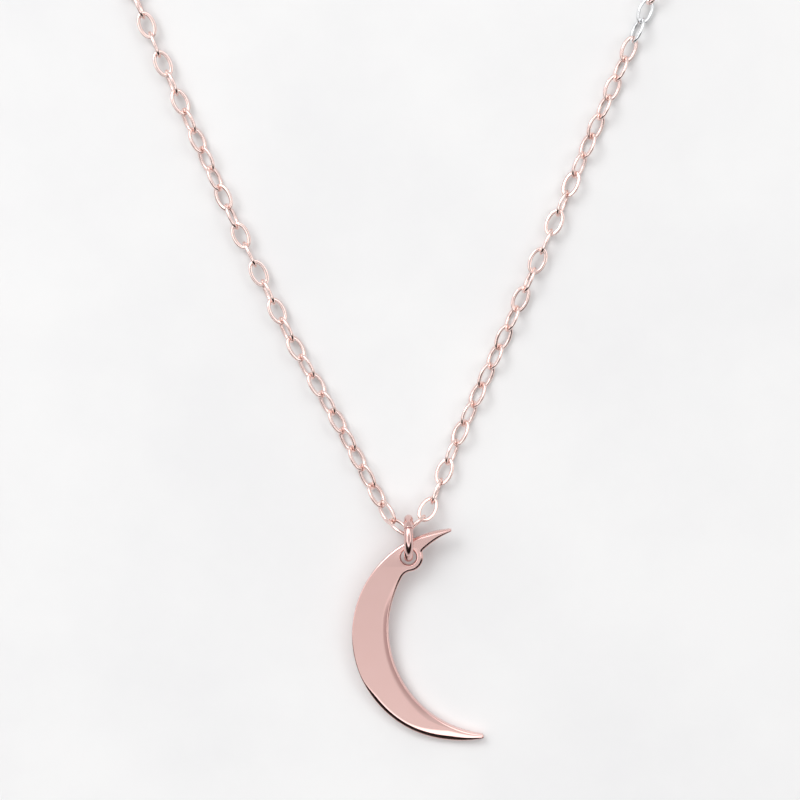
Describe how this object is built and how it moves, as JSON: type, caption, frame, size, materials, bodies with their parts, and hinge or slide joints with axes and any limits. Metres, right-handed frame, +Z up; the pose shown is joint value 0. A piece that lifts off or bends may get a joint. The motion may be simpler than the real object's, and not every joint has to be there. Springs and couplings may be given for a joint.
{
  "type": "pendant necklace",
  "caption": "Flat crescent moon pendant on a jump ring, on a fine oval cable chain with a spring ring clasp, laid out in an open loop.",
  "frame": {"origin": "under the middle of the whole necklace, on the surface it lies on", "axes": "+Z up, +Y from the pendant towards the clasp, +X to the right seen from above"},
  "size_m": [0.0972, 0.1783, 0.0044],
  "materials": {
    "chain": "polished",
    "pendant_ring": "polished",
    "crescent": "polished",
    "clasp": "polished",
    "spring": "satin"
  },
  "bodies": {
    "centre": {"chain_left_01": "chain", "chain_right_01": "chain"},
    "chain_left_02": {"chain_left_02": "chain"},
    "chain_left_03": {"chain_left_03": "chain"},
    "chain_left_04": {"chain_left_04": "chain"},
    "chain_left_05": {"chain_left_05": "chain"},
    "chain_left_06": {"chain_left_06": "chain"},
    "chain_left_07": {"chain_left_07": "chain"},
    "chain_left_08": {"chain_left_08": "chain"},
    "chain_left_09": {"chain_left_09": "chain"},
    "chain_left_10": {"chain_left_10": "chain"},
    "chain_left_11": {"chain_left_11": "chain"},
    "chain_left_12": {"chain_left_12": "chain"},
    "chain_right_02": {"chain_right_02": "chain"},
    "chain_right_03": {"chain_right_03": "chain"},
    "chain_right_04": {"chain_right_04": "chain"},
    "chain_right_05": {"chain_right_05": "chain"},
    "chain_right_06": {"chain_right_06": "chain"},
    "chain_right_07": {"chain_right_07": "chain"},
    "chain_right_08": {"chain_right_08": "chain"},
    "chain_right_09": {"chain_right_09": "chain"},
    "chain_right_10": {"chain_right_10": "chain"},
    "chain_right_11": {"chain_right_11": "chain"},
    "chain_right_12": {"chain_right_12": "chain"},
    "pendant_jump_ring": {"pendant_jump_ring": "pendant_ring"},
    "crescent": {"crescent_plate": "crescent"},
    "clasp_jump_ring": {"clasp_jump_ring": "clasp"},
    "clasp": {"clasp_tube": "clasp", "clasp_eye": "clasp", "clasp_spring": "spring"},
    "clasp_bolt": {"clasp_bolt": "clasp"},
    "end_ring": {"end_ring": "clasp"}
  },
  "joints": [
    {"name": "bail_lift", "type": "hinge", "parent": "centre", "child": "pendant_jump_ring", "pos_m": [0.00123, -0.0696, 0.0022], "axis": [-1, 0, 0], "range_deg": [0, 50]},
    {"name": "crescent_swing", "type": "hinge", "parent": "pendant_jump_ring", "child": "crescent", "pos_m": [0.00123, -0.07134, 0.00185], "axis": [0, -0.0807, 0.9967], "range_deg": [-55, 12]},
    {"name": "clasp_ring_swing", "type": "hinge", "parent": "chain_left_12", "child": "clasp_jump_ring", "pos_m": [-0.00849, 0.08569, 0.0008], "axis": [0, 0, 1], "range_deg": [-40, 40]},
    {"name": "clasp_lift", "type": "hinge", "parent": "clasp_jump_ring", "child": "clasp", "pos_m": [-0.00646, 0.08574, 0.0008], "axis": [0.0251, -0.9997, 0], "range_deg": [0, 80]},
    {"name": "bolt_pull", "type": "hinge", "parent": "clasp", "child": "clasp_bolt", "pos_m": [-0.00251, 0.08584, 0.00065], "axis": [0, 0, 1], "range_deg": [0, 54], "stiffness_Nm_per_rad": 0.0002, "springref_deg": -9.74, "deforming": ["clasp_spring"]},
    {"name": "end_ring_swing", "type": "hinge", "parent": "chain_right_12", "child": "end_ring", "pos_m": [0.00784, 0.08451, 0.00075], "axis": [0, 0, 1], "range_deg": [-40, 40]},
    {"name": "strand_left_02", "type": "hinge", "parent": "centre", "child": "chain_left_02", "pos_m": [-0.00696, -0.05602, 0.00069], "axis": [0.55, 0.306, 0.7771], "range_deg": [0, 30]},
    {"name": "strand_left_03", "type": "hinge", "parent": "chain_left_02", "child": "chain_left_03", "pos_m": [-0.01398, -0.04241, 0.00082], "axis": [0.8968, 0.4106, 0.165], "range_deg": [0, 45]},
    {"name": "strand_left_04", "type": "hinge", "parent": "chain_left_03", "child": "chain_left_04", "pos_m": [-0.02046, -0.02814, 0.00079], "axis": [0.2468, 0.1029, 0.9636], "range_deg": [0, 45]},
    {"name": "strand_left_05", "type": "hinge", "parent": "chain_left_04", "child": "chain_left_05", "pos_m": [-0.02664, -0.01334, 0.00076], "axis": [0.8484, 0.3481, 0.3987], "range_deg": [0, 45]},
    {"name": "strand_left_06", "type": "hinge", "parent": "chain_left_05", "child": "chain_left_06", "pos_m": [-0.03251, 0.0012, 0.00082], "axis": [0.1708, 0.0637, 0.9832], "range_deg": [0, 45]},
    {"name": "strand_left_07", "type": "hinge", "parent": "chain_left_06", "child": "chain_left_07", "pos_m": [-0.03825, 0.0154, 0.00082], "axis": [0.9272, 0.3746, 0], "range_deg": [0, 45]},
    {"name": "strand_left_08", "type": "hinge", "parent": "chain_left_07", "child": "chain_left_08", "pos_m": [-0.04426, 0.03028, 0.00082], "axis": [0, 0, 1], "range_deg": [0, 45]},
    {"name": "strand_left_09", "type": "hinge", "parent": "chain_left_08", "child": "chain_left_09", "pos_m": [-0.04775, 0.0451, 0.00082], "axis": [1, 0.0081, 0], "range_deg": [0, 45]},
    {"name": "strand_left_10", "type": "hinge", "parent": "chain_left_09", "child": "chain_left_10", "pos_m": [-0.0451, 0.06081, 0.00082], "axis": [0, 0, 1], "range_deg": [0, 45]},
    {"name": "strand_left_11", "type": "hinge", "parent": "chain_left_10", "child": "chain_left_11", "pos_m": [-0.0369, 0.07364, 0.00082], "axis": [0.7011, -0.7131, 0], "range_deg": [0, 45]},
    {"name": "strand_left_12", "type": "hinge", "parent": "chain_left_11", "child": "chain_left_12", "pos_m": [-0.02377, 0.08266, 0.00082], "axis": [0, 0, 1], "range_deg": [0, 45]},
    {"name": "strand_right_02", "type": "hinge", "parent": "centre", "child": "chain_right_02", "pos_m": [0.00802, -0.05552, 0.00065], "axis": [0.6768, -0.2976, -0.6734], "range_deg": [0, 30]},
    {"name": "strand_right_03", "type": "hinge", "parent": "chain_right_02", "child": "chain_right_03", "pos_m": [0.01443, -0.04121, 0.00082], "axis": [0.9041, -0.3864, 0.1822], "range_deg": [0, 45]},
    {"name": "strand_right_04", "type": "hinge", "parent": "chain_right_03", "child": "chain_right_04", "pos_m": [0.02062, -0.0268, 0.00073], "axis": [-0.4592, 0.1978, -0.866], "range_deg": [0, 45]},
    {"name": "strand_right_05", "type": "hinge", "parent": "chain_right_04", "child": "chain_right_05", "pos_m": [0.02696, -0.01207, 0.00077], "axis": [0.8303, -0.354, -0.4305], "range_deg": [0, 45]},
    {"name": "strand_right_06", "type": "hinge", "parent": "chain_right_05", "child": "chain_right_06", "pos_m": [0.03301, 0.00201, 0.00082], "axis": [0, 0, -1], "range_deg": [0, 45]},
    {"name": "strand_right_07", "type": "hinge", "parent": "chain_right_06", "child": "chain_right_07", "pos_m": [0.03931, 0.01675, 0.00082], "axis": [0.9198, -0.3923, 0], "range_deg": [0, 45]},
    {"name": "strand_right_08", "type": "hinge", "parent": "chain_right_07", "child": "chain_right_08", "pos_m": [0.04527, 0.03087, 0.00082], "axis": [0, 0, -1], "range_deg": [0, 45]},
    {"name": "strand_right_09", "type": "hinge", "parent": "chain_right_08", "child": "chain_right_09", "pos_m": [0.04773, 0.04661, 0.00082], "axis": [0.9998, 0.0177, 0], "range_deg": [0, 45]},
    {"name": "strand_right_10", "type": "hinge", "parent": "chain_right_09", "child": "chain_right_10", "pos_m": [0.04412, 0.0614, 0.00082], "axis": [0, 0, -1], "range_deg": [0, 45]},
    {"name": "strand_right_11", "type": "hinge", "parent": "chain_right_10", "child": "chain_right_11", "pos_m": [0.03468, 0.07424, 0.00082], "axis": [0.692, 0.7219, 0], "range_deg": [0, 45]},
    {"name": "strand_right_12", "type": "hinge", "parent": "chain_right_11", "child": "chain_right_12", "pos_m": [0.02164, 0.0821, 0.00082], "axis": [0, 0, -1], "range_deg": [0, 45]}
  ]
}
